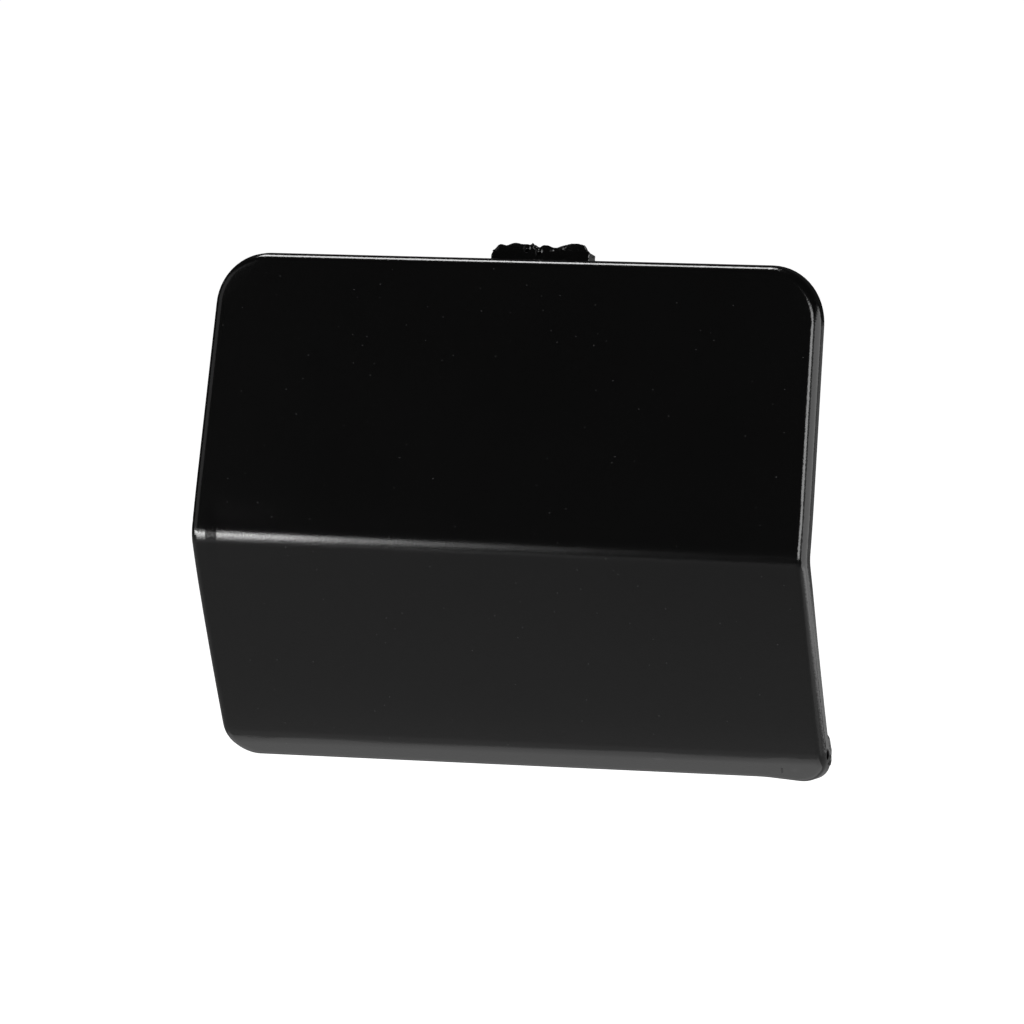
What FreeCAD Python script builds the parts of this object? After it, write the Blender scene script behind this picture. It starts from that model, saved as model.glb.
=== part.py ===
import FreeCAD, Part
import math
import os

import Sketcher

# Bumper tow hook cover, moulded in one piece. Millimetres, +Z up, the painted face towards -Y.
# The origin is on the catch face of the top tongue, level with the top edge of the cover.

# Driving sizes

SIZES = {
    # Painted face: its outline seen from the front
    "cover_width": 92.0,
    "upper_height": 38.95,
    "lower_height": 31.55,
    "top_taper": 1.0,
    "bottom_taper": 0.8,
    "top_left_corner": 7.2,
    "top_right_corner": 8.2,
    "bottom_corner": 4.7,
    "side_blend": 300.0,
    # Bottom edge: it sags towards the right corner
    "corner_sag": 0.85,
    "sag_run": 10.0,
    "sag_blend": 30.0,
    # Painted face: its section seen from the side, with a ridge that falls a little to the right
    "ridge_reach": 17.0,
    "top_setback": 9.0,
    "low_setback": 10.2,
    "ridge_round": 5.5,
    "ridge_angle": 0.44,
    "lower_crown": 400.0,
    "skin": 2.1,
    "edge_round": 1.3,
    # Turned-in lip along the bottom
    "lip_height": 2.5,
    "lip_run": 2.35,
    "lip_roll": 5.0,
    # Rim and ribs behind the face
    "rim_inset": 2.6,
    "rim_wall": 1.5,
    "rim_reach": 7.0,
    "rib_wall": 1.3,
    "rib_reach": 4.4,
    "rib_pitch": 20.0,
    # Top tongue that hooks behind the bumper skin, with a dip in its top
    "tongue_width": 14.6,
    "tongue_rise": 1.65,
    "tongue_drop": 2.5,
    "tongue_arm": 2.0,
    "tongue_thick": 3.0,
    "tongue_shoulder": 1.8,
    "tongue_corner": 1.3,
    "tongue_soft": 0.5,
    "dip_depth": 0.58,
    "dip_radius": 5.5,
    "dip_offset": 0.8,
    # Snap arms along the bottom rim, each between two relief notches
    "snap_offset": 30.0,
    "snap_width": 9.0,
    "snap_arm": 1.8,
    "snap_barb": 1.6,
    "snap_land": 0.8,
    "snap_tip": 5.0,
    "relief_width": 1.2,
    "relief_depth": 3.5,
    # Leaf-shaped pry slot in the right edge, near the bottom corner
    "slot_length": 1.7,
    "slot_width": 0.8,
    "slot_depth": 0.9,
    "slot_height": 3.75,
    "slot_back": 0.85,
}
RIB_COUNT = 3
TRIM = 4.0  # stock that stands outside the outline before it is cut


class Size:
    """A size as the text that binds it to the sheet, with its present value beside it."""

    def __init__(self, text, value):
        self.text = text
        self.value = value

    def join(self, sign, other, value):
        other_text = other.text if isinstance(other, Size) else repr(float(other))
        return Size(f"({self.text} {sign} {other_text})", value)

    def __add__(self, other):
        return self.join("+", other, self.value + number(other))

    def __sub__(self, other):
        return self.join("-", other, self.value - number(other))

    def __mul__(self, other):
        return self.join("*", other, self.value * number(other))

    def __truediv__(self, other):
        return self.join("/", other, self.value / number(other))

    def __neg__(self):
        return Size(f"(0 - {self.text})", -self.value)


def number(size):
    return size.value if isinstance(size, Size) else float(size)


def plain(value):
    """A fixed value as a size that follows nothing."""
    return Size(repr(float(value)), float(value))


doc = FreeCAD.newDocument("tow_hook_cover")
sheet = doc.addObject("Spreadsheet::Sheet", "dims")
for row, (alias, value) in enumerate(SIZES.items(), start=1):
    sheet.set(f"A{row}", alias)
    sheet.set(f"B{row}", str(value))
    sheet.setAlias(f"B{row}", alias)
doc.recompute()
dim = {alias: Size(f"dims.{alias}", float(sheet.get(alias))) for alias in SIZES}

# Reference lines of the face, as places along Y and Z

ridge_y = -dim["ridge_reach"]
top_y = ridge_y + dim["top_setback"]
low_y = ridge_y + dim["low_setback"]
zero = plain(0)
ridge_z = -dim["upper_height"]
bottom_z = ridge_z - dim["lower_height"]
upper_lean = dim["top_setback"] / dim["upper_height"]
lower_lean = dim["low_setback"] / dim["lower_height"]
crease_z = bottom_z + dim["lip_height"]
crease_y = low_y - lower_lean * dim["lip_height"]
lip_y = crease_y + dim["lip_run"]


def upper_face(z):
    """Where the upper face lies at a height, as if it ran straight to the ridge line."""
    return ridge_y + (z - ridge_z) * upper_lean


def lower_face(z):
    """Where the lower face lies at a height, as if it ran straight to the ridge line."""
    return ridge_y + (ridge_z - z) * lower_lean


# Sketch helpers

ORIGIN = (-1, 1)
START, END, CENTRE = 1, 2, 3


def vector(x, y):
    return FreeCAD.Vector(x, y, 0)


def origin_item(body, role):
    return next(item for item in body.Origin.OriginFeatures if item.Role == role)


def new_sketch(body, name, role, offset=None):
    """Sketch on one of the body's own planes, moved along its normal by a bound offset."""
    sketch = body.newObject("Sketcher::SketchObject", name)
    sketch.AttachmentSupport = [(origin_item(body, role), "")]
    sketch.MapMode = "FlatFace"
    if offset is not None:
        sketch.setExpression("AttachmentOffset.Base.z", offset.text)
    return sketch


def link(sketch, kind, *places):
    sketch.addConstraint(Sketcher.Constraint(kind, *places))


def drive(sketch, kind, places, size):
    """Add a dimension and bind it to the sheet."""
    index = sketch.addConstraint(Sketcher.Constraint(kind, *places, size.value))
    sketch.setExpression(f"Constraints[{index}]", size.text)


def place(sketch, geometry, corner, x, y):
    drive(sketch, "DistanceX", (*ORIGIN, geometry, corner), x)
    drive(sketch, "DistanceY", (*ORIGIN, geometry, corner), y)


def line(sketch, start, end):
    return sketch.addGeometry(Part.LineSegment(start, end), False)


def arc(sketch, centre, start, end):
    """Arc about a centre, anticlockwise from start to end."""
    radius = (start - centre).Length
    first, last = (math.atan2(p.y - centre.y, p.x - centre.x) for p in (start, end))
    if last < first:
        last += 2 * math.pi
    circle = Part.Circle(centre, FreeCAD.Vector(0, 0, 1), radius)
    return sketch.addGeometry(Part.ArcOfCircle(circle, first, last), False)


def guide_point(sketch, x, y, *carriers):
    """Construction point at a bound place, which each carrier then runs through."""
    index = sketch.addGeometry(Part.Point(vector(x.value, y.value)), True)
    place(sketch, index, START, x, y)
    for carrier in carriers:
        link(sketch, "PointOnObject", index, START, carrier)


def polygon(sketch, corners):
    """Closed run of straight lines, each corner bound to the sheet."""
    points = [vector(x.value, y.value) for x, y in corners]
    lines = [line(sketch, points[i - 1], points[i]) for i in range(len(points))]
    for i, (x, y) in enumerate(corners):
        link(sketch, "Coincident", lines[i], END, lines[(i + 1) % len(lines)], START)
        place(sketch, lines[i], END, x, y)


def rounded_polygon(sketch, corners):
    """Closed outline, clockwise, whose corners (x, y, radius) are rounded by tangent arcs."""
    points = [vector(x.value, y.value) for x, y, _ in corners]
    count = len(points)
    arcs, entries, exits, ends = [], [], [], []
    for i, (_, _, radius) in enumerate(corners):
        before = (points[i - 1] - points[i]).normalize()
        after = (points[(i + 1) % count] - points[i]).normalize()
        half = before.getAngle(after) / 2
        reach = radius.value / math.tan(half)
        centre = points[i] + (before + after).normalize() * (radius.value / math.sin(half))
        entries.append(points[i] + before * reach)
        exits.append(points[i] + after * reach)
        if before.cross(after).z > 0:
            arcs.append(arc(sketch, centre, exits[i], entries[i]))
            ends.append((END, START))
        else:
            arcs.append(arc(sketch, centre, entries[i], exits[i]))
            ends.append((START, END))
    lines = [line(sketch, exits[i - 1], entries[i]) for i in range(count)]
    for i, (x, y, radius) in enumerate(corners):
        following = lines[(i + 1) % count]
        entry_end, exit_end = ends[i]
        link(sketch, "Tangent", lines[i], END, arcs[i], entry_end)
        link(sketch, "Tangent", arcs[i], exit_end, following, START)
        drive(sketch, "Radius", (arcs[i],), radius)
        guide_point(sketch, x, y, lines[i], following)


def feature(body, kind, name, sketch, **settings):
    """Feature made from a sketch: texts are set as they are and sizes are bound to the sheet."""
    made = body.newObject(f"PartDesign::{kind}", name)
    made.Profile = sketch
    for key, setting in settings.items():
        if isinstance(setting, Size):
            made.setExpression(key, setting.text)
        else:
            setattr(made, key, setting)
    sketch.Visibility = False
    doc.recompute()
    return made


def cut(body, name, sketch, **settings):
    """Pocket that has to take material away."""
    before = body.Shape.Volume
    made = feature(body, "Pocket", name, sketch, **settings)
    if made.Shape.Volume > before - 0.01:
        raise ValueError(f"{name} cuts nothing")
    return made


# Outline of the cover, seen from the front

def outline_corners(inset):
    """Corners of the cover's outline, moved inwards by a distance, clockwise from top right."""
    half = dim["cover_width"] / 2 - inset
    right = [
        (half - dim["top_taper"], -inset, dim["top_right_corner"] - inset),
        (half, ridge_z, dim["side_blend"] - inset),
        (half - dim["bottom_taper"], bottom_z + inset, dim["bottom_corner"] - inset),
    ]
    left = [(-x, z, radius) for x, z, radius in reversed(right)]
    left[-1] = (*left[-1][:2], dim["top_left_corner"] - inset)
    return right + left


def face_corners():
    """Corners of the painted face: the outline, with its bottom edge sagging to the right corner."""
    corners = outline_corners(zero)
    x, z, radius = corners[2]
    corners[2:3] = [(x, z - dim["corner_sag"], radius), (x - dim["sag_run"], z, dim["sag_blend"])]
    return corners


def frame_corners():
    """Rectangle that holds all the stock outside the outline."""
    half = dim["cover_width"] / 2 + 2 * TRIM
    above, below = plain(2 * TRIM), bottom_z - 2 * TRIM
    return [(half, above), (half, below), (-half, below), (-half, above)]


# Sections of the cover, seen from the right side

def tangent_touch(point, centre, radius, side):
    """Where the line from a point touches a circle, on one side of it."""
    to_centre = centre - point
    turn = side * math.asin(radius / to_centre.Length)
    along = math.sqrt(to_centre.Length ** 2 - radius ** 2)
    heading = math.atan2(to_centre.y, to_centre.x) + turn
    return point + vector(math.cos(heading), math.sin(heading)) * along


def skin_section(sketch):
    """Flat upper face, rounded ridge and crowned lower face, with a wall that turns in at the lip."""
    ridge_round, crown, skin = dim["ridge_round"], dim["lower_crown"], dim["skin"]
    ridge_centre_y = ridge_y + ridge_round
    top = vector(top_y.value, 0)
    low = vector(low_y.value, bottom_z.value)
    lip = vector(lip_y.value, bottom_z.value)
    crease = vector(crease_y.value, crease_z.value)

    ridge = vector(ridge_centre_y.value, ridge_z.value)
    upper_touch = tangent_touch(top, ridge, ridge_round.value, -1)

    # The crown passes through the low point and rolls into the ridge
    reach = crown.value - ridge_round.value
    gap = low - ridge
    along = (reach ** 2 - crown.value ** 2 + gap.Length ** 2) / (2 * gap.Length)
    across = math.sqrt(reach ** 2 - along ** 2)
    unit = gap / gap.Length
    crown_centre = ridge + unit * along + vector(-unit.y, unit.x) * across
    lower_touch = ridge + (ridge - crown_centre).normalize() * ridge_round.value

    def extend(point, towards, level):
        way = towards - point
        return point + way * ((level - point.y) / way.y)

    def on_crown(radius, level):
        drop = level - crown_centre.y
        return vector(crown_centre.x - math.sqrt(radius ** 2 - drop ** 2), level)

    below_level = bottom_z.value - TRIM
    above = extend(top, upper_touch, TRIM)
    below = on_crown(crown.value, below_level)
    inner_upper = upper_touch + (ridge - upper_touch).normalize() * skin.value
    inner_lower = lower_touch + (ridge - lower_touch).normalize() * skin.value
    inner_above = extend(inner_upper, inner_upper + (above - upper_touch), TRIM)
    lip_way = (lip - crease).normalize()
    lip_shift = vector(-lip_way.y, lip_way.x) * skin.value
    inner_below = extend(lip + lip_shift, lip + lip_shift + lip_way, below_level)
    inner_corner = on_crown(crown.value - skin.value, crease.y)

    upper = line(sketch, above, upper_touch)
    ridge_arc = arc(sketch, ridge, upper_touch, lower_touch)
    lower = arc(sketch, crown_centre, lower_touch, below)
    bottom_cap = line(sketch, below, inner_below)
    inner_lip = line(sketch, inner_below, inner_corner)
    inner_low = arc(sketch, crown_centre, inner_lower, inner_corner)
    inner_ridge = arc(sketch, ridge, inner_upper, inner_lower)
    inner_top = line(sketch, inner_above, inner_upper)
    top_cap = line(sketch, above, inner_above)
    lip_line = sketch.addGeometry(Part.LineSegment(crease, lip), True)

    for first, first_end, second, second_end in (
        (upper, END, ridge_arc, START),
        (ridge_arc, END, lower, START),
        (inner_low, START, inner_ridge, END),
        (inner_ridge, START, inner_top, END),
    ):
        link(sketch, "Tangent", first, first_end, second, second_end)
    for first, first_end, second, second_end in (
        (lower, END, bottom_cap, START),
        (bottom_cap, END, inner_lip, START),
        (inner_lip, END, inner_low, END),
        (inner_top, START, top_cap, END),
        (top_cap, START, upper, START),
        (inner_low, CENTRE, lower, CENTRE),
        (inner_ridge, CENTRE, ridge_arc, CENTRE),
    ):
        link(sketch, "Coincident", first, first_end, second, second_end)
    link(sketch, "Parallel", inner_top, upper)
    link(sketch, "Parallel", inner_lip, lip_line)
    link(sketch, "Horizontal", bottom_cap)
    link(sketch, "Horizontal", top_cap)

    drive(sketch, "Radius", (ridge_arc,), ridge_round)
    drive(sketch, "Radius", (lower,), crown)
    drive(sketch, "Radius", (inner_ridge,), ridge_round - skin)
    place(sketch, ridge_arc, CENTRE, ridge_centre_y, ridge_z)
    guide_point(sketch, top_y, zero, upper)
    guide_point(sketch, low_y, bottom_z, lower)
    place(sketch, lip_line, START, crease_y, crease_z)
    place(sketch, lip_line, END, lip_y, bottom_z)
    drive(sketch, "Distance", (lip_line, END, inner_lip), skin)
    drive(sketch, "DistanceY", (*ORIGIN, lower, END), bottom_z - TRIM)
    drive(sketch, "DistanceY", (*ORIGIN, upper, START), zero + TRIM)


def band_section(sketch, reach, top, bottom):
    """Band that follows the bend of the face: from the middle of the skin back to a reach."""
    front = dim["skin"] / 2
    polygon(sketch, [
        (upper_face(top) + front, top),
        (ridge_y + front, ridge_z),
        (lower_face(bottom) + front, bottom),
        (lower_face(bottom) + reach, bottom),
        (ridge_y + reach, ridge_z),
        (upper_face(top) + reach, top),
    ])


# The moulding

cover = doc.addObject("PartDesign::Body", "tow_hook_cover")
cover.Label = "tow_hook_cover"


def build_rim():
    """Stiffening rim: a band that follows the face, cut down to a ring inside the outline."""
    stock = new_sketch(cover, "rim_section", "YZ_Plane")
    band_section(stock, dim["rim_reach"], -dim["rim_inset"] / 2, bottom_z + dim["rim_inset"] / 2)
    feature(cover, "Pad", "rim_stock", stock, SideType="Symmetric", Length=dim["cover_width"])

    ring = new_sketch(cover, "rim_outline", "XZ_Plane")
    polygon(ring, frame_corners())
    rounded_polygon(ring, outline_corners(dim["rim_inset"]))
    inner = dim["rim_inset"] + dim["rim_wall"]
    rounded_polygon(ring, inner_corners(inner))
    cut(cover, "rim_ring", ring, SideType="Symmetric", Type="ThroughAll")


def inner_corners(inset):
    """Inside of the rim, whose corners keep a small radius of their own."""
    corner = dim["rim_wall"]
    blend = dim["side_blend"]
    radii = [corner, blend, corner, corner, blend, corner]
    return [(x, z, radius) for (x, z, _), radius in zip(outline_corners(inset), radii)]


def build_skin():
    """Painted skin: its section run from side to side, its outline cut out and its lip cut in."""
    section = new_sketch(cover, "skin_section", "YZ_Plane")
    section.AttachmentOffset = FreeCAD.Placement(vector(0, 0), FreeCAD.Rotation(vector(1, 0), 1))
    section.setExpression("AttachmentOffset.Rotation.Angle", dim["ridge_angle"].text)
    skin_section(section)
    stock = dim["cover_width"] + 2 * TRIM
    feature(cover, "Pad", "skin", section, SideType="Symmetric", Length=stock)

    outline = new_sketch(cover, "outline", "XZ_Plane")
    polygon(outline, frame_corners())
    rounded_polygon(outline, face_corners())
    cut(cover, "outline_cut", outline, SideType="Symmetric", Type="ThroughAll")

    lip = new_sketch(cover, "lip_section", "YZ_Plane")
    rise, run = crease_z - bottom_z, lip_y - crease_y
    polygon(lip, [
        (crease_y - run, crease_z + rise),
        (crease_y - run, bottom_z - rise * 2),
        (lip_y + run * 2, bottom_z - rise * 2),
    ])
    flat = cut(cover, "lip_cut", lip, SideType="Symmetric", Type="ThroughAll")
    crease = FreeCAD.Vector(0, crease_y.value, crease_z.value)

    def on_crease(place):
        return place.distanceToPoint(crease) < 0.5

    rolled = soften("lip_roll", flat, edges_where(flat.Shape, on_crease), dim["lip_roll"])
    soften("front_edge", rolled, front_edges(rolled.Shape), dim["edge_round"])


def build_ribs():
    """Upright ribs across the hollow, and one along the back of the ridge."""
    middle = dim["rim_inset"] + dim["rim_wall"] / 2
    upright = new_sketch(cover, "rib_section", "YZ_Plane", -dim["rib_pitch"])
    band_section(upright, dim["rib_reach"], -middle, bottom_z + middle)
    rib = feature(cover, "Pad", "rib", upright, SideType="Symmetric", Length=dim["rib_wall"])
    ribs = cover.newObject("PartDesign::LinearPattern", "ribs")
    ribs.Originals = [rib]
    ribs.Direction = (origin_item(cover, "X_Axis"), [""])
    ribs.setExpression("Length", (dim["rib_pitch"] * (RIB_COUNT - 1)).text)
    ribs.Occurrences = RIB_COUNT
    cover.Tip = ribs
    doc.recompute()

    across = new_sketch(cover, "cross_rib_section", "YZ_Plane")
    front, back = ridge_y + dim["skin"] / 2, ridge_y + dim["rib_reach"]
    high, low = ridge_z + dim["rib_wall"] / 2, ridge_z - dim["rib_wall"] / 2
    polygon(across, [(front, high), (back, high), (back, low), (front, low)])
    between_rims = dim["cover_width"] - middle * 2
    feature(cover, "Pad", "cross_rib", across, SideType="Symmetric", Length=between_rims)


def build_tongue():
    """Top tongue: an arm that runs back from the face and carries an upright hook."""
    width = dim["tongue_width"]
    high = -dim["tongue_drop"]
    low = high - dim["tongue_arm"]
    arm = new_sketch(cover, "tongue_arm_section", "YZ_Plane")
    front, back = top_y + dim["skin"] / 4, dim["tongue_thick"]
    polygon(arm, [(front, high), (back, high), (back, low), (front, low)])
    feature(cover, "Pad", "tongue_arm", arm, SideType="Symmetric", Length=width)

    hook = new_sketch(cover, "hook_outline", "XZ_Plane")
    hook_outline(hook, low)
    made = feature(cover, "Pad", "tongue_hook", hook, Reversed=True, Length=dim["tongue_thick"])

    def on_hook(place):
        return place.z > high.value + 0.2 and place.y > -0.1 and abs(place.x) < width.value

    soften("hook_edges", made, edges_where(made.Shape, on_hook), dim["tongue_soft"])


def hook_outline(sketch, low):
    """The hook from the front: a round left shoulder, a shallow dip and a tighter right corner."""
    half, rise = dim["tongue_width"] / 2, dim["tongue_rise"]
    shoulder, corner = dim["tongue_shoulder"], dim["tongue_corner"]
    dip_x, dip_z = dim["dip_offset"], rise - dim["dip_depth"] + dim["dip_radius"]
    spread = math.sqrt(dim["dip_radius"].value ** 2 - (dip_z.value - rise.value) ** 2)

    foot_left, foot_right = vector(-half.value, low.value), vector(half.value, low.value)
    left_side = vector(-half.value, rise.value - shoulder.value)
    left_top = vector(shoulder.value - half.value, rise.value)
    dip_left = vector(dip_x.value - spread, rise.value)
    dip_right = vector(dip_x.value + spread, rise.value)
    right_top = vector(half.value - corner.value, rise.value)
    right_side = vector(half.value, rise.value - corner.value)

    left = line(sketch, foot_left, left_side)
    left_arc = arc(sketch, left_side + vector(shoulder.value, 0), left_top, left_side)
    left_hump = line(sketch, left_top, dip_left)
    dip = arc(sketch, vector(dip_x.value, dip_z.value), dip_left, dip_right)
    right_hump = line(sketch, dip_right, right_top)
    right_arc = arc(sketch, right_side - vector(corner.value, 0), right_side, right_top)
    right = line(sketch, right_side, foot_right)
    foot = line(sketch, foot_right, foot_left)

    for first, first_end, second, second_end in (
        (left, END, left_arc, END),
        (left_arc, START, left_hump, START),
        (right_hump, END, right_arc, END),
        (right_arc, START, right, START),
    ):
        link(sketch, "Tangent", first, first_end, second, second_end)
    for first, first_end, second, second_end in (
        (left_hump, END, dip, START),
        (dip, END, right_hump, START),
        (right, END, foot, START),
        (foot, END, left, START),
    ):
        link(sketch, "Coincident", first, first_end, second, second_end)
    for upright in (left, right):
        link(sketch, "Vertical", upright)
    for level in (left_hump, right_hump):
        link(sketch, "Horizontal", level)

    drive(sketch, "Radius", (left_arc,), shoulder)
    drive(sketch, "Radius", (right_arc,), corner)
    drive(sketch, "Radius", (dip,), dim["dip_radius"])
    place(sketch, dip, CENTRE, dip_x, dip_z)
    place(sketch, foot, START, half, low)
    place(sketch, foot, END, -half, low)
    for level in (left_hump, right_hump):
        drive(sketch, "DistanceY", (*ORIGIN, level, END), rise)


def build_snaps():
    """Snap arms that run on from the bottom rim, with barbs that catch below it."""
    under = bottom_z + dim["rim_inset"]
    over = under + dim["snap_arm"]
    front, tip = lower_face(under) + dim["skin"] / 2, dim["snap_tip"]
    barb = under - dim["snap_barb"]
    section = new_sketch(cover, "snap_section", "YZ_Plane", dim["snap_offset"])
    polygon(section, [
        (front, under), (zero, under), (zero, barb), (dim["snap_land"], barb),
        (tip, under + dim["snap_arm"] / 3), (tip, over), (front, over),
    ])
    snap = feature(cover, "Pad", "snap", section, SideType="Symmetric", Length=dim["snap_width"])

    notches = new_sketch(cover, "relief_outline", "XY_Plane", over)
    beside = dim["snap_width"] / 2
    rim_end = lower_face(under) + dim["rim_reach"]
    for inner, outer in (
        (dim["snap_offset"] + beside, dim["snap_offset"] + beside + dim["relief_width"]),
        (dim["snap_offset"] - beside, dim["snap_offset"] - beside - dim["relief_width"]),
    ):
        start, end = rim_end - dim["relief_depth"], rim_end + dim["relief_depth"]
        polygon(notches, [(inner, start), (outer, start), (outer, end), (inner, end)])
    relief = cut(cover, "relief", notches, Type="Length", Length=dim["snap_arm"] + dim["snap_barb"])

    pair = cover.newObject("PartDesign::Mirrored", "snap_pair")
    pair.Originals = [snap, relief]
    pair.MirrorPlane = (origin_item(cover, "YZ_Plane"), [""])
    cover.Tip = pair
    doc.recompute()


def build_slot():
    """Pry slot: a leaf between two arcs, cut into the right edge along the lean of the lower face."""
    height = bottom_z + dim["slot_height"]
    centre = lower_face(height) + dim["skin"] - dim["slot_back"]
    half = dim["slot_length"] / 2
    ends = (centre - lower_lean * half, height + half), (centre + lower_lean * half, height - half)
    sides = centre - dim["slot_width"] / 2, centre + dim["slot_width"] / 2
    upper, lower = (vector(y.value, z.value) for y, z in ends)

    floor = dim["cover_width"] / 2 - dim["bottom_taper"] - dim["slot_depth"]
    leaf = new_sketch(cover, "slot_outline", "YZ_Plane", floor)
    arcs = [
        leaf.addGeometry(Part.Arc(upper, vector(side.value, height.value), lower), False)
        for side in sides
    ]
    for index, side in zip(arcs, sides):
        guide_point(leaf, side, height, index)
    # An arc runs anticlockwise, so the front one starts at the upper end and the back one ends there
    link(leaf, "Coincident", arcs[0], END, arcs[1], START)
    link(leaf, "Coincident", arcs[1], END, arcs[0], START)
    for corner, (y, z) in ((START, ends[0]), (END, ends[1])):
        place(leaf, arcs[0], corner, y, z)
    cut(cover, "pry_slot", leaf, Reversed=True, Type="ThroughAll")


def soften(name, base, edges, radius):
    """Round the named edges of a feature."""
    made = cover.newObject("PartDesign::Fillet", name)
    made.Base = (base, edges)
    made.setExpression("Radius", radius.text)
    doc.recompute()
    return made


def edges_where(shape, wanted):
    """Names of the edges whose middle is in a wanted place."""
    middles = [edge.valueAt((edge.FirstParameter + edge.LastParameter) / 2) for edge in shape.Edges]
    return [f"Edge{index}" for index, middle in enumerate(middles, start=1) if wanted(middle)]


def normal_at_middle(face):
    u_first, u_last, v_first, v_last = face.ParameterRange
    return face.normalAt((u_first + u_last) / 2, (v_first + v_last) / 2)


def front_edges(shape):
    """Names of the edges where the painted face meets the walls of the outline."""
    names = []
    for index, edge in enumerate(shape.Edges, start=1):
        depths = sorted(normal_at_middle(face).y for face in shape.ancestorsOfType(edge, Part.Face))
        if len(depths) == 2 and depths[0] < -0.3 and abs(depths[1]) < 1e-4:
            names.append(f"Edge{index}")
    return names


build_rim()
build_ribs()
build_skin()
build_tongue()
build_snaps()
build_slot()

# Checks and export

doc.recompute()
for item in doc.Objects:
    faults = {"Invalid", "Error"} & set(item.State)
    if faults:
        raise ValueError(f"{item.Label} is {', '.join(sorted(faults))}")
if cover.Shape.isNull() or not cover.Shape.isValid() or len(cover.Shape.Solids) != 1:
    raise ValueError(f"{cover.Label} is not one valid solid")

os.makedirs("parts", exist_ok=True)
cover.Shape.exportStep(f"parts/{cover.Label}.step")
print(cover.Label, round(cover.Shape.Volume), cover.Shape.BoundBox)
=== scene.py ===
"""Looks of the bumper tow hook cover: gloss black moulding, studio and camera. Metres, CAD frame."""

import math

import bpy
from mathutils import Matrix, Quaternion, Vector


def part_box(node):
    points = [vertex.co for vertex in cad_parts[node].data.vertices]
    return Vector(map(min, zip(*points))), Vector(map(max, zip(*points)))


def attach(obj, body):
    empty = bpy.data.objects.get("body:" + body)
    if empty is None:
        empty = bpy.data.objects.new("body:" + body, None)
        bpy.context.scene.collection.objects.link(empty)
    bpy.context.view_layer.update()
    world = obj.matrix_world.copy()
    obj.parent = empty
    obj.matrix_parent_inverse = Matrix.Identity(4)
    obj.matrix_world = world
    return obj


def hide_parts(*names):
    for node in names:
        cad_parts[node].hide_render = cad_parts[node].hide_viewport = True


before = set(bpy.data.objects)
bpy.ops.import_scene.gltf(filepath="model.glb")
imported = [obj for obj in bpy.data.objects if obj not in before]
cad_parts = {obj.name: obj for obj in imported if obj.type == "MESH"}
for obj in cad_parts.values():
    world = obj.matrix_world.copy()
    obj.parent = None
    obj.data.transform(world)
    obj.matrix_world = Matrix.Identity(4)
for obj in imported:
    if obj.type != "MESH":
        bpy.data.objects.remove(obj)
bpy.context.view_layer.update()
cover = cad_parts["tow_hook_cover"]
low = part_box("tow_hook_cover")[0]

MM = 0.001

# Camera, fitted to the cover's outline in the photograph
CAMERA_AZIMUTH = math.radians(22.872)
CAMERA_ELEVATION = math.radians(5.48)
CAMERA_ROLL = math.radians(-0.262)
CAMERA_DISTANCE = 1.4008
LENS_MM = 358.75
AIM_DROP = 39.3 * MM
AIM_RIGHT = 2.64 * MM
AIM_UP = 5.24 * MM

# White paper floor under the cover: its size, its place, and its tone, which deepens towards the front as
# painted shade
FLOOR_WIDE, FLOOR_LONG = 6, 5
FLOOR_GAP = 60 * MM
FLOOR_FRONT = 320 * MM
FLOOR_TONE = 0.37
FLOOR_SHADE_FULL_Y, FLOOR_SHADE_GONE_Y = -135 * MM, -65 * MM

# Strength of the white world on the cover, against 1 for the camera
SKY_LIGHT = 0.03

# Gloss black finish: tints, roughness, and patterns as so many to the metre
BLACK, SPECK_TINT, SMUDGE_TINT = 0.0013, 0.027, 0.012
GLOSS, HAZE_DULLNESS, SCUFF_DULLNESS, SPECK_DULLNESS = 0.12, 0.04, 0.4, 0.2
HAZE_SCALE, SPECK_SCALE, GRAIN_SCALE = 60.0, 600.0, 3600.0
SPECK_SIZE = 0.042
GRAIN_DEPTH = 0.015 * MM
MARK_LEAN = 0.3

# Faint sink mark at the left end of the ridge: it sets in steeply, and fades rightwards and off the ridge
RIDGE_Z = -39 * MM
SINK_DEPTH = 0.095 * MM
SINK_START, SINK_FULL = -43.4 * MM, -41.7 * MM
SINK_FADE, SINK_END = -42.0 * MM, -22.0 * MM
SINK_NEAR, SINK_FAR = 2.0 * MM, 6.0 * MM

# Ragged top of the tongue, in millimetres: its sides, its ends, and how its front lies and leans
TIP_LEFT, TIP_RIGHT = -7.35, 7.4
TIP_FOOT, TIP_TOP = -1.0, 1.58
TIP_FRONT = 0.25
TIP_LEAN = math.radians(9)

# Its back: how far behind the front, how tall against it, and how deep a vertex lies to be part of it
TIP_THICK = 2.8
TIP_BACK_HEIGHT = 0.72
TIP_MIDDLE = 1.0

# How its left side draws in: place up, how far in, reach
TIP_WAIST = (0.8, 0.35, 0.9)

# Humps and dips along its top edge: place, rise, reach
TIP_EDGE = (
    (-7.4, -0.9, 1.3),
    (-5.2, -0.15, 0.8),
    (-3.7, 0.25, 1.2),
    (-2.5, 0.08, 1.2),
    (-1.9, 0.2, 0.3),
    (-1.1, 0.34, 0.28),
    (-0.2, -0.32, 0.6),
    (2.2, -0.34, 1.3),
    (5.3, 0.33, 2.2),
    (7.5, -0.9, 0.8),
)

# Blobs on its front: place across, place up, how far out, reach
TIP_BLOBS = (
    (-1.9, 1.2, 0.35, 0.5),
    (-0.8, 1.45, 0.2, 0.3),
    (-0.1, 0.7, 0.35, 0.5),
    (1.9, 0.95, 0.12, 0.3),
    (3.7, 1.3, 0.12, 0.4),
)

# Steps in its back: the height that each starts at, how wide it is left, how far it comes forward
TIP_STEPS = (
    (-0.7, 1.0, 0.6),
    (0.1, 0.92, 0.9),
)

# The hook under it: where that ends, and where its front lies
HOOK_TOP = -0.9
HOOK_FRONT = -0.5

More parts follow.
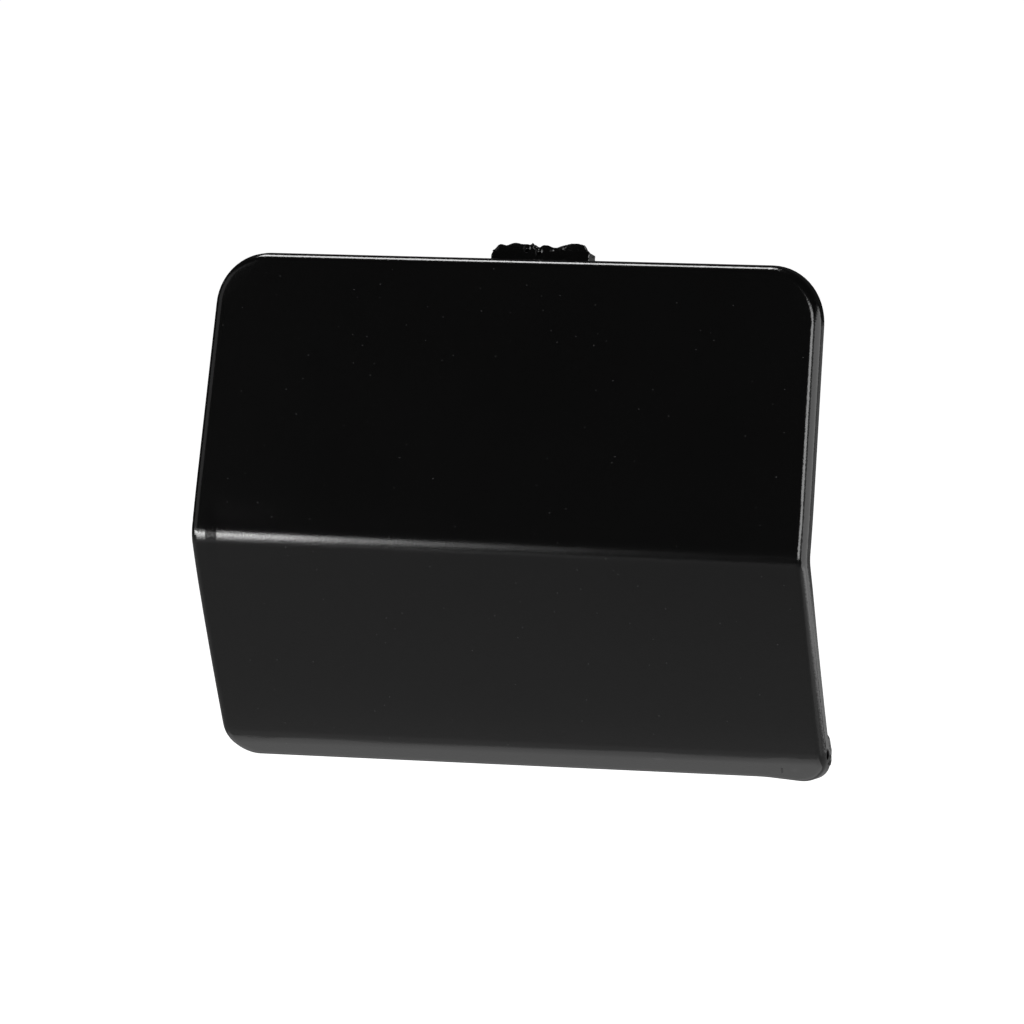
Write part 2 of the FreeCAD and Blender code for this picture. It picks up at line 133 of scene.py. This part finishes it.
# Flash on the back edge of the right wall, in millimetres
FLASH_PLACE = (44.85, -5.65, -66.25)
FLASH_HALF = (0.38, 0.95, 2.4)
FLASH_LEAN = math.radians(18)

# Welding and shading of the moulding's mesh
MERGE_WITHIN = 0.002 * MM
SMOOTH_BELOW = math.radians(32)


# Shader maths

class Socket:
    """A node's output that ordinary maths can be written with."""

    def __init__(self, tree, link):
        self.tree = tree
        self.link = link

    def maths(self, operation, *values):
        return self.tree.node("ShaderNodeMath", {"operation": operation}, *(values or [self]))

    def __add__(self, other):
        return self.maths("ADD", self, other)

    def __radd__(self, other):
        return self.maths("ADD", other, self)

    def __sub__(self, other):
        return self.maths("SUBTRACT", self, other)

    def __rsub__(self, other):
        return self.maths("SUBTRACT", other, self)

    def __mul__(self, other):
        return self.maths("MULTIPLY", self, other)

    def __rmul__(self, other):
        return self.maths("MULTIPLY", other, self)

    def __lt__(self, other):
        return self.maths("LESS_THAN", self, other)


class Tree:
    """The nodes of one material, or of the world."""

    def __init__(self, owner):
        owner.use_nodes = True
        self.nodes = owner.node_tree.nodes
        self.links = owner.node_tree.links
        self.nodes.clear()

    def node(self, kind, settings, *values, output=0, **named):
        """Add a node: its settings first, then values or links by place and by name."""
        made = self.nodes.new(kind)
        for key, setting in settings.items():
            setattr(made, key, setting)
        for key, value in [*enumerate(values), *named.items()]:
            socket = made.inputs[key if isinstance(key, int) else key.replace("_", " ")]
            if isinstance(value, Socket):
                self.links.new(value.link, socket)
            else:
                socket.default_value = value
        return Socket(self, made.outputs[output]) if len(made.outputs) else made


def gloss_black():
    """Gloss black moulding with a fine grain, specks of dust, and a few marks at its bottom lip."""
    material = bpy.data.materials.new("gloss_black")
    tree = Tree(material)
    place = tree.node("ShaderNodeTexCoord", {}, output=3)
    x, y, z = (tree.node("ShaderNodeSeparateXYZ", {}, place, output=axis) for axis in range(3))

    def noise(scale, detail):
        return tree.node("ShaderNodeTexNoise", {}, Vector=place, Scale=scale, Detail=detail, Roughness=0.6)

    def ramp(value, start, end, kind="SMOOTHSTEP"):
        return tree.node("ShaderNodeMapRange", {"interpolation_type": kind}, value, start, end, 0.0, 1.0)

    def spot(at_x, at_z, half_width, half_height):
        """Soft mark on the front, placed and sized in millimetres, that leans as the lip does."""
        above = z - at_z * MM
        aside = ((x - at_x * MM - MARK_LEAN * above) * (1 / (half_width * MM))).maths("ABSOLUTE")
        above = (above * (1 / (half_height * MM))).maths("ABSOLUTE")
        return (1 - ramp(aside, 0.4, 1.0)) * (1 - ramp(above, 0.6, 1.0)) * (y < -2 * MM)

    haze = noise(HAZE_SCALE, 4.0)
    specks = tree.node("ShaderNodeTexVoronoi", {}, Vector=place, Scale=SPECK_SCALE) < SPECK_SIZE
    scuff = spot(38.4, -69.3, 0.25, 0.55)
    smudge = spot(40.3, -69.2, 0.4, 0.25) + spot(20.6, -68.4, 0.9, 0.2)

    off_ridge = (z - RIDGE_Z).maths("ABSOLUTE")
    sink = (
        ramp(x, SINK_START, SINK_FULL, "LINEAR")
        * (1 - ramp(x, SINK_FADE, SINK_END))
        * (1 - ramp(off_ridge, SINK_NEAR, SINK_FAR))
    )
    height = -SINK_DEPTH * sink + GRAIN_DEPTH * noise(GRAIN_SCALE, 2.0)
    bump = tree.node("ShaderNodeBump", {}, Strength=1.0, Distance=1.0, Height=height)
    shader = tree.node(
        "ShaderNodeBsdfPrincipled",
        {},
        Base_Color=BLACK + SPECK_TINT * specks + SMUDGE_TINT * smudge,
        Roughness=GLOSS + HAZE_DULLNESS * haze + SCUFF_DULLNESS * scuff + SPECK_DULLNESS * specks,
        IOR=1.5,
        Normal=bump,
    )
    tree.node("ShaderNodeOutputMaterial", {}, shader)
    return material


# The moulding, finished

def only(piece):
    """Select one piece and nothing else."""
    bpy.ops.object.select_all(action="DESELECT")
    bpy.context.view_layer.objects.active = piece
    piece.select_set(True)


def pick(piece, kind, keep):
    """In edit mode, select the vertices or faces that keep() says, and nothing else."""
    bpy.ops.mesh.select_mode(type=kind)
    bpy.ops.mesh.select_all(action="DESELECT")
    bpy.ops.object.mode_set(mode="OBJECT")
    for part in piece.data.polygons if kind == "FACE" else piece.data.vertices:
        part.select = bool(keep(part))
    bpy.ops.object.mode_set(mode="EDIT")


def pull(piece, place, way, reach):
    """Move the vertex nearest to a place, and softly what lies within reach of it. Millimetres."""
    place = Vector(place) * MM
    nearest = min(piece.data.vertices, key=lambda vertex: (vertex.co - place).length).index
    pick(piece, "VERT", lambda vertex: vertex.index == nearest)
    bpy.ops.transform.translate(
        value=Vector(way) * MM,
        use_proportional_edit=True,
        proportional_edit_falloff="SMOOTH",
        proportional_size=reach * MM,
    )
    # Out of edit mode and back, so that the next search finds the vertices where they now are
    bpy.ops.object.mode_set(mode="OBJECT")
    bpy.ops.object.mode_set(mode="EDIT")


def roughen(piece, grain, lump, depth):
    """Make a piece one closed skin and give it lumps of a size and depth in millimetres."""
    skin = piece.modifiers.new("one_skin", "REMESH")
    skin.mode = "VOXEL"
    skin.voxel_size = grain * MM
    bpy.ops.object.modifier_apply(modifier=skin.name)
    clouds = bpy.data.textures.new(piece.name + "_lumps", "CLOUDS")
    clouds.noise_scale = lump * MM
    dents = piece.modifiers.new("lumps", "DISPLACE")
    dents.texture = clouds
    dents.strength = depth * MM
    bpy.ops.object.modifier_apply(modifier=dents.name)


def tongue_tip():
    """Top of the tongue as it left the mould: a thin ragged lip, lumpy where the plastic tore."""
    middle = ((TIP_LEFT + TIP_RIGHT) / 2, TIP_FRONT, (TIP_TOP + TIP_FOOT) / 2)
    bpy.ops.object.select_all(action="DESELECT")
    bpy.ops.mesh.primitive_grid_add(
        x_subdivisions=74,
        y_subdivisions=14,
        size=1,
        location=Vector(middle) * MM,
        rotation=(math.pi / 2 - TIP_LEAN, 0, 0),
    )
    made = bpy.context.object
    made.name = "tongue_tip"
    made.scale = ((TIP_RIGHT - TIP_LEFT) * MM, (TIP_TOP - TIP_FOOT) * MM, 1)
    bpy.ops.object.transform_apply(location=True, rotation=True, scale=True)

    bpy.ops.object.mode_set(mode="EDIT")
    at_z, inwards, reach = TIP_WAIST
    pull(made, (TIP_LEFT, 0, at_z), (inwards, 0, 0), reach)
    for at_x, rise, reach in TIP_EDGE:
        pull(made, (at_x, 0, TIP_TOP), (0, 0, rise), reach)
    for at_x, at_z, out, reach in TIP_BLOBS:
        pull(made, (at_x, 0, at_z), (0, -out, 0), reach)

    bpy.ops.mesh.select_mode(type="FACE")
    bpy.ops.mesh.select_all(action="SELECT")
    bpy.ops.mesh.extrude_region_move(TRANSFORM_OT_translate={"value": (0, TIP_THICK * MM, 0)})
    foot = (0, TIP_THICK * MM, TIP_FOOT * MM)
    bpy.ops.transform.resize(value=(1, 1, TIP_BACK_HEIGHT), center_override=foot)
    for at_z, width, forward in TIP_STEPS:
        pick(made, "VERT", lambda vertex: vertex.co.y > TIP_MIDDLE * MM and vertex.co.z > at_z * MM)
        bpy.ops.transform.resize(value=(width, 1, 1), center_override=foot)
        bpy.ops.transform.translate(value=(0, -forward * MM, 0))
    bpy.ops.mesh.select_all(action="SELECT")
    bpy.ops.mesh.normals_make_consistent(inside=False)
    bpy.ops.object.mode_set(mode="OBJECT")
    roughen(made, grain=0.1, lump=0.8, depth=0.07)
    return made


def corner_flash():
    """Flash left on the back edge of the right wall, by the bottom corner."""
    bpy.ops.object.select_all(action="DESELECT")
    bpy.ops.mesh.primitive_uv_sphere_add(
        segments=24,
        ring_count=16,
        radius=1,
        location=Vector(FLASH_PLACE) * MM,
        rotation=(FLASH_LEAN, 0, 0),
    )
    made = bpy.context.object
    made.name = "corner_flash"
    made.scale = Vector(FLASH_HALF) * MM
    bpy.ops.object.transform_apply(location=True, rotation=True, scale=True)
    roughen(made, grain=0.08, lump=1.0, depth=0.15)
    return made


def finished_cover():
    """Copy of the moulding: loose triangles merged, normals true on the flats, rough ends added."""
    rough_ends = [tongue_tip(), corner_flash()]
    made = cover.copy()
    made.data = cover.data.copy()
    made.name = "gloss_cover"
    bpy.context.scene.collection.objects.link(made)
    only(made)
    bpy.ops.mesh.customdata_custom_splitnormals_clear()

    # The hook is cut off just above the foot of the ragged tip that takes its place
    bpy.ops.object.mode_set(mode="EDIT")
    bpy.ops.mesh.select_all(action="SELECT")
    bpy.ops.mesh.remove_doubles(threshold=MERGE_WITHIN)
    cut = HOOK_TOP * MM
    corners = made.data.vertices

    def on_hook_top(face):
        return face.center.y > HOOK_FRONT * MM and any(corners[index].co.z > cut for index in face.vertices)

    pick(made, "FACE", on_hook_top)
    bpy.ops.mesh.bisect(plane_co=(0, 0, cut), plane_no=(0, 0, 1), clear_outer=True, use_fill=True)
    bpy.ops.object.mode_set(mode="OBJECT")

    only(made)
    for piece in rough_ends:
        piece.select_set(True)
    bpy.ops.object.join()
    bpy.ops.object.shade_smooth_by_angle(angle=SMOOTH_BELOW)
    weigh = made.modifiers.new("true_flats", "WEIGHTED_NORMAL")
    weigh.weight = 100
    weigh.keep_sharp = True
    bpy.ops.object.modifier_apply(modifier=weigh.name)
    made.data.materials.clear()
    made.data.materials.append(gloss_black())
    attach(made, "root")
    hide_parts("tow_hook_cover")


finished_cover()


# Studio

def floor_paper():
    """Plain pale paper with painted shade, a little deeper towards its front edge, that glows to the camera
    alone.
    """
    material = bpy.data.materials.new("floor_white")
    tree = Tree(material)
    place = tree.node("ShaderNodeTexCoord", {}, output=3)
    y = tree.node("ShaderNodeSeparateXYZ", {}, place, output=1)
    # Painted shade: the paper darkens towards its front edge in place of less light falling there, and the
    # cover's lower face reflects it
    out_of_painted_shade = tree.node("ShaderNodeMapRange", {}, y, FLOOR_SHADE_FULL_Y, FLOOR_SHADE_GONE_Y, 0.0, 1.0)
    shader = tree.node(
        "ShaderNodeBsdfPrincipled",
        {},
        Base_Color=FLOOR_TONE * (0.72 + 0.42 * out_of_painted_shade),
        Roughness=0.9,
        Emission_Color=(1, 1, 1, 1),
        Emission_Strength=tree.node("ShaderNodeLightPath", {}),
    )
    tree.node("ShaderNodeOutputMaterial", {}, shader)
    return material


def add_floor():
    bpy.ops.object.select_all(action="DESELECT")
    middle = (0, FLOOR_LONG / 2 - FLOOR_FRONT, low.z - FLOOR_GAP)
    bpy.ops.mesh.primitive_plane_add(size=1, location=middle)
    made = bpy.context.object
    made.name = "floor"
    made.scale = (FLOOR_WIDE, FLOOR_LONG, 1)
    bpy.ops.object.transform_apply(location=True, rotation=True, scale=True)
    made.data.materials.append(floor_paper())


def lamp(name, place, size, radiance, turn=None):
    """Softbox in millimetres from the middle of the ridge, unseen by the camera.

    It is turned towards the ridge, or by a turn of its own, which starts from facing down.
    """
    light = bpy.data.lights.new(name, "AREA")
    light.shape = "RECTANGLE"
    light.size, light.size_y = size[0] * MM, size[1] * MM
    light.energy = radiance * math.pi * light.size * light.size_y
    made = bpy.data.objects.new(name, light)
    bpy.context.scene.collection.objects.link(made)
    way = Vector(place) * MM
    made.location = Vector((0, low.y, -AIM_DROP)) + way
    made.rotation_euler = turn or way.to_track_quat("Z", "Y").to_euler()
    made.visible_camera = False


def around(azimuth, elevation, distance):
    """Place round the cover: azimuth 0 is in front of it, and positive is to the right."""
    a, e = math.radians(azimuth), math.radians(elevation)
    way = (math.sin(a) * math.cos(e), -math.cos(a) * math.cos(e), math.sin(e))
    return [distance * part for part in way]


add_floor()

# Above, for the line of light along the top edge
lamp("overhead", (-330, 190, 830), (340, 320), 12, (0, 0, 0))

# Beside and behind it, for the right wall and the upper panel
lamp("right_strip", around(14.5, 18, 800), (330, 480), 6.3)
lamp("right_panel", around(90, 4, 200), (290, 200), 2.3)
lamp("back_right", around(150, -4, 900), (500, 150), 0.35)
lamp("back_low", around(150, -10.5, 400), (260, 40), 0.8)
lamp("back_fill", around(137, -11, 400), (110, 36), 1.0)
lamp("right_front", around(38, 14, 300), (110, 120), 0.5)
lamp("left_panel", around(-58, 12, 600), (440, 500), 0.4)

# At the left, for the streak along the ridge and the spot at its end
lamp("ridge_glow", (-210, -320, -29), (36, 118), 8)
lamp("ridge_lamp", (-213, -320, -24), (36, 78), 13)
lamp("ridge_heart", (-213, -320, -16), (36, 34), 17)
lamp("ridge_left", around(-49, -1, 380), (175, 34), 24)
lamp("ridge_side", (-165, -320, -24), (28, 76), 3.6)

# Below, facing up, for the turned-in lip and the bottom right corner
UPWARDS = (math.pi, 0, 0)
lamp("under_lip", (-25, 12, -85), (170, 60), 0.85, UPWARDS)
lamp("under_front", (-25, -28, -85), (170, 30), 0.2, UPWARDS)
lamp("under_right", (170, -70, -88), (150, 120), 0.3, UPWARDS)
lamp("under_side", (260, -30, -88), (150, 160), 1.2, UPWARDS)

# The world glows white to the camera, and only faintly to the cover
world = bpy.data.worlds.new("studio")
bpy.context.scene.world = world
sky = Tree(world)
seen = sky.node("ShaderNodeLightPath", {})
glow = sky.node("ShaderNodeBackground", {}, (1, 1, 1, 1), SKY_LIGHT + (1 - SKY_LIGHT) * seen)
sky.node("ShaderNodeOutputWorld", {}, glow)


# Camera

def add_camera():
    data = bpy.data.cameras.new("camera")
    data.lens = LENS_MM
    data.sensor_width = 36
    data.clip_start = 0.01
    data.clip_end = 50
    made = bpy.data.objects.new("camera", data)
    bpy.context.scene.collection.objects.link(made)
    a, e = CAMERA_AZIMUTH, CAMERA_ELEVATION
    back = Vector((math.sin(a) * math.cos(e), -math.cos(a) * math.cos(e), math.sin(e)))
    turn = back.to_track_quat("Z", "Y") @ Quaternion((0, 0, 1), CAMERA_ROLL)
    right, up = turn @ Vector((1, 0, 0)), turn @ Vector((0, 1, 0))
    ridge_front = Vector((0, low.y, -AIM_DROP))
    made.location = ridge_front + right * AIM_RIGHT + up * AIM_UP + back * CAMERA_DISTANCE
    made.rotation_euler = turn.to_euler()
    bpy.context.scene.camera = made


add_camera()
bpy.context.scene.view_settings.view_transform = "Standard"
